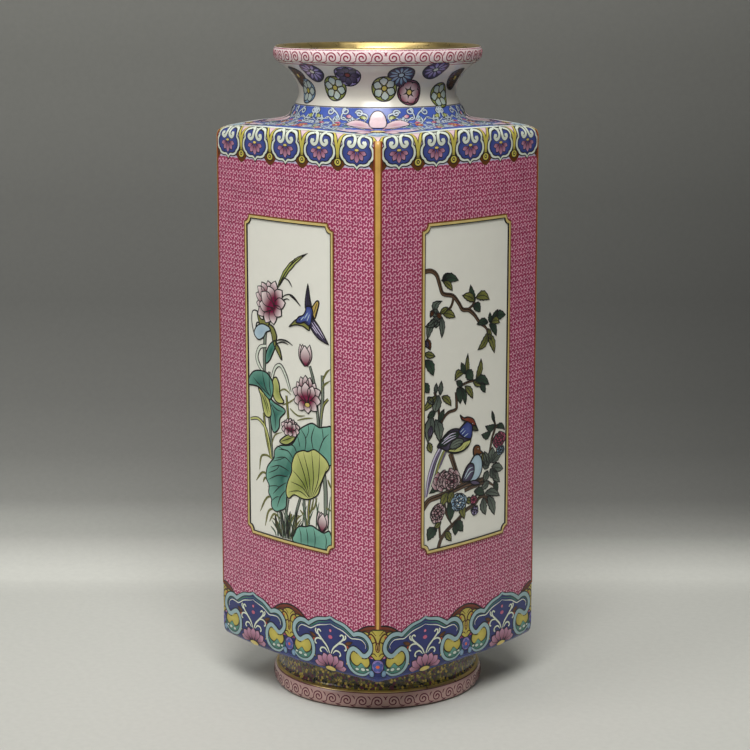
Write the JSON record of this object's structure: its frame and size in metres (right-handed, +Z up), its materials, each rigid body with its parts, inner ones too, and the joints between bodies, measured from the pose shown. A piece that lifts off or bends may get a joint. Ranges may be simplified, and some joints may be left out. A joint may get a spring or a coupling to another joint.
{
  "type": "square vase",
  "caption": "Tall square porcelain vase with softly bulging walls, a flat domed shoulder, a flared round neck and a round foot ring.",
  "frame": {"origin": "middle of the foot ring's underside, on the surface that the vase stands on", "axes": "+Z up along the vase's axis, the four walls face +X, -X, +Y and -Y"},
  "size_m": [0.1224, 0.1224, 0.32],
  "materials": {
    "glazed_porcelain": "clear glossy glaze over white porcelain, painted all over outside with enamels",
    "luting_clay": "the same porcelain clay, smeared smooth into the inside seams and thinly glazed",
    "overglaze_enamel": "coloured enamels painted and fired on top of the glaze, slightly raised and glossy",
    "gilding": "fired gold on the lip, the mouth and the frames"
  },
  "bodies": {
    "root": {"wall_front": "glazed_porcelain", "wall_right": "glazed_porcelain", "wall_back": "glazed_porcelain", "wall_left": "glazed_porcelain", "shoulder": "glazed_porcelain", "base_plate": "glazed_porcelain", "neck": "glazed_porcelain", "foot_ring": "glazed_porcelain", "base_seam_strip": "luting_clay", "shoulder_seam_strip": "luting_clay", "corner_seam_strip_front_right": "luting_clay", "corner_seam_strip_back_right": "luting_clay", "corner_seam_strip_back_left": "luting_clay", "corner_seam_strip_front_left": "luting_clay"}
  },
  "joints": []
}
